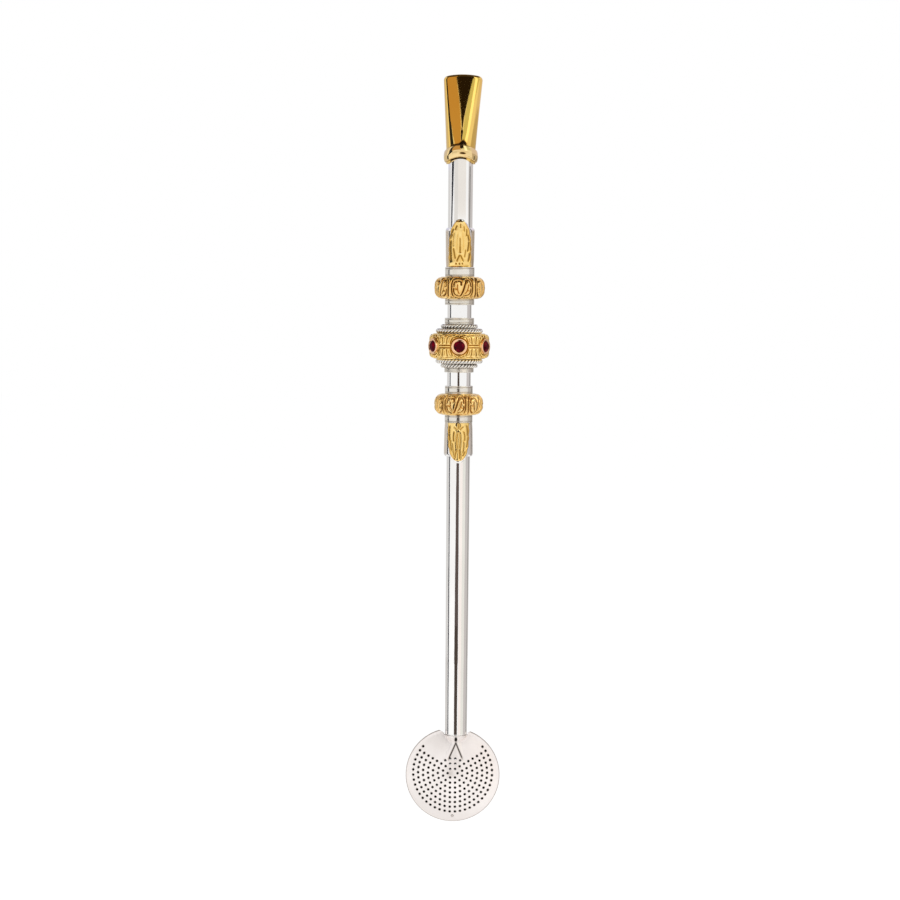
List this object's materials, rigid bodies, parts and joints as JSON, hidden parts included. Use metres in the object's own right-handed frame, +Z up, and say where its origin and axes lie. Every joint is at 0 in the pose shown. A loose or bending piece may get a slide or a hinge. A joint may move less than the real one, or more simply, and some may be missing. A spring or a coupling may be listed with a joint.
{
  "type": "bombilla",
  "caption": "Metal drinking straw for mate: flattened gilt mouthpiece, ringed and jewelled silver tube, and a round perforated strainer that draws off the tube.",
  "frame": {"origin": "foot of the strainer on the tube's axis, where it stands on the floor of the cup", "axes": "+Z up along the tube to the mouthpiece, -Y out of the front face of the strainer, +X to the right of the front"},
  "size_m": [0.0316, 0.022, 0.2502],
  "materials": {
    "silver": "polished silver",
    "satin_silver": "satin silver sheet",
    "gilt": "polished yellow gilding",
    "garnet": "deep red polished stone"
  },
  "bodies": {
    "stem": {"mouthpiece": "gilt", "mouthpiece_ring": "gilt", "stem_tube": "silver", "upper_leaf_sleeve": "silver", "upper_leaves": "gilt", "upper_ring_top_collar": "silver", "upper_ring": "gilt", "upper_ring_bottom_collar": "silver", "bead_top_collar": "silver", "bead_top_small_rope": "silver", "bead_top_large_rope": "silver", "bead_top_cap": "silver", "bead_band": "gilt", "bezels": "gilt", "stones": "garnet", "bead_bottom_cap": "silver", "bead_bottom_large_rope": "silver", "bead_bottom_small_rope": "silver", "bead_bottom_collar": "silver", "lower_ring_top_collar": "silver", "lower_ring": "gilt", "lower_ring_bottom_collar": "silver", "lower_leaf_sleeve": "silver", "lower_leaves": "gilt"},
    "strainer": {"strainer_front": "satin_silver", "strainer_back": "satin_silver", "strainer_spigot": "silver", "strainer_rivet": "silver"}
  },
  "joints": [
    {"name": "strainer_pull", "type": "slide", "parent": "stem", "child": "strainer", "axis": [0, 0, -1], "range_m": [0, 0.02]}
  ]
}
